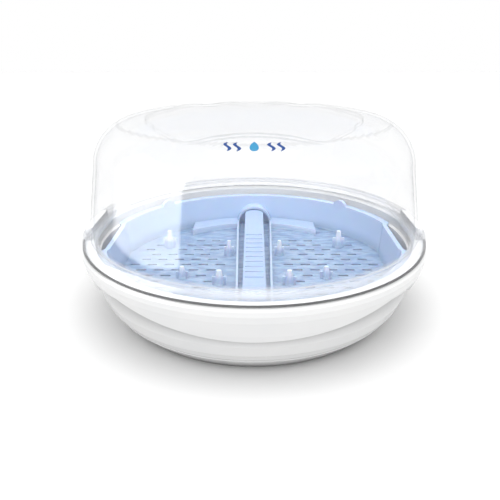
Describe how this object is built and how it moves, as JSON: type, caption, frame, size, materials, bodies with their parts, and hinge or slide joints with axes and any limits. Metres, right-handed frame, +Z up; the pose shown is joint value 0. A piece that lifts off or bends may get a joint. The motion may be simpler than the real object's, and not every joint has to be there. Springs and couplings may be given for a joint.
{
  "type": "bottle sterilizer",
  "caption": "Round steam sterilizer for baby bottles: white base bowl, drop-in slotted tray with pegs, tongs, clear domed lid and two side clips.",
  "frame": {"origin": "centre of the foot ring, on the surface that the base stands on", "axes": "+Z up through the middle of the lid, -Y to the front, +X to the right clip"},
  "size_m": [0.282, 0.282, 0.16],
  "materials": {
    "base_white": "glossy moulded polypropylene, white",
    "clip_white": "glossy moulded polypropylene, white",
    "tray_blue": "translucent moulded polypropylene, light blue",
    "tongs_blue": "translucent moulded polypropylene, light blue",
    "lid_clear": "clear moulded polypropylene, polished"
  },
  "bodies": {
    "base": {"base": "base_white"},
    "clip_right": {"clip_right": "clip_white"},
    "clip_left": {"clip_left": "clip_white"},
    "tray": {"tray": "tray_blue"},
    "tongs": {"tongs_lower": "tongs_blue"},
    "tongs_arm": {"tongs_upper": "tongs_blue"},
    "lid": {"lid": "lid_clear"}
  },
  "joints": [
    {"name": "tray_lift", "type": "slide", "parent": "base", "child": "tray", "axis": [0, 0, 1], "range_m": [0, 0.09]},
    {"name": "lid_lift", "type": "slide", "parent": "tray", "child": "lid", "axis": [0, 0, 1], "range_m": [0, 0.15]},
    {"name": "tongs_lift", "type": "slide", "parent": "tray", "child": "tongs", "axis": [0, 0, 1], "range_m": [0, 0.07]},
    {"name": "tongs_squeeze", "type": "hinge", "parent": "tongs", "child": "tongs_arm", "pos_m": [0, -0.07, 0.03315], "axis": [-1, 0, 0], "range_deg": [0, 3.4], "stiffness_Nm_per_rad": 0.6, "springref_deg": -5.73},
    {"name": "clip_right_swing", "type": "hinge", "parent": "base", "child": "clip_right", "pos_m": [0.1319, 0, 0.0475], "axis": [0, 1, 0], "range_deg": [0, 70]},
    {"name": "clip_left_swing", "type": "hinge", "parent": "base", "child": "clip_left", "pos_m": [-0.1319, 0, 0.0475], "axis": [0, -1, 0], "range_deg": [0, 70]}
  ]
}
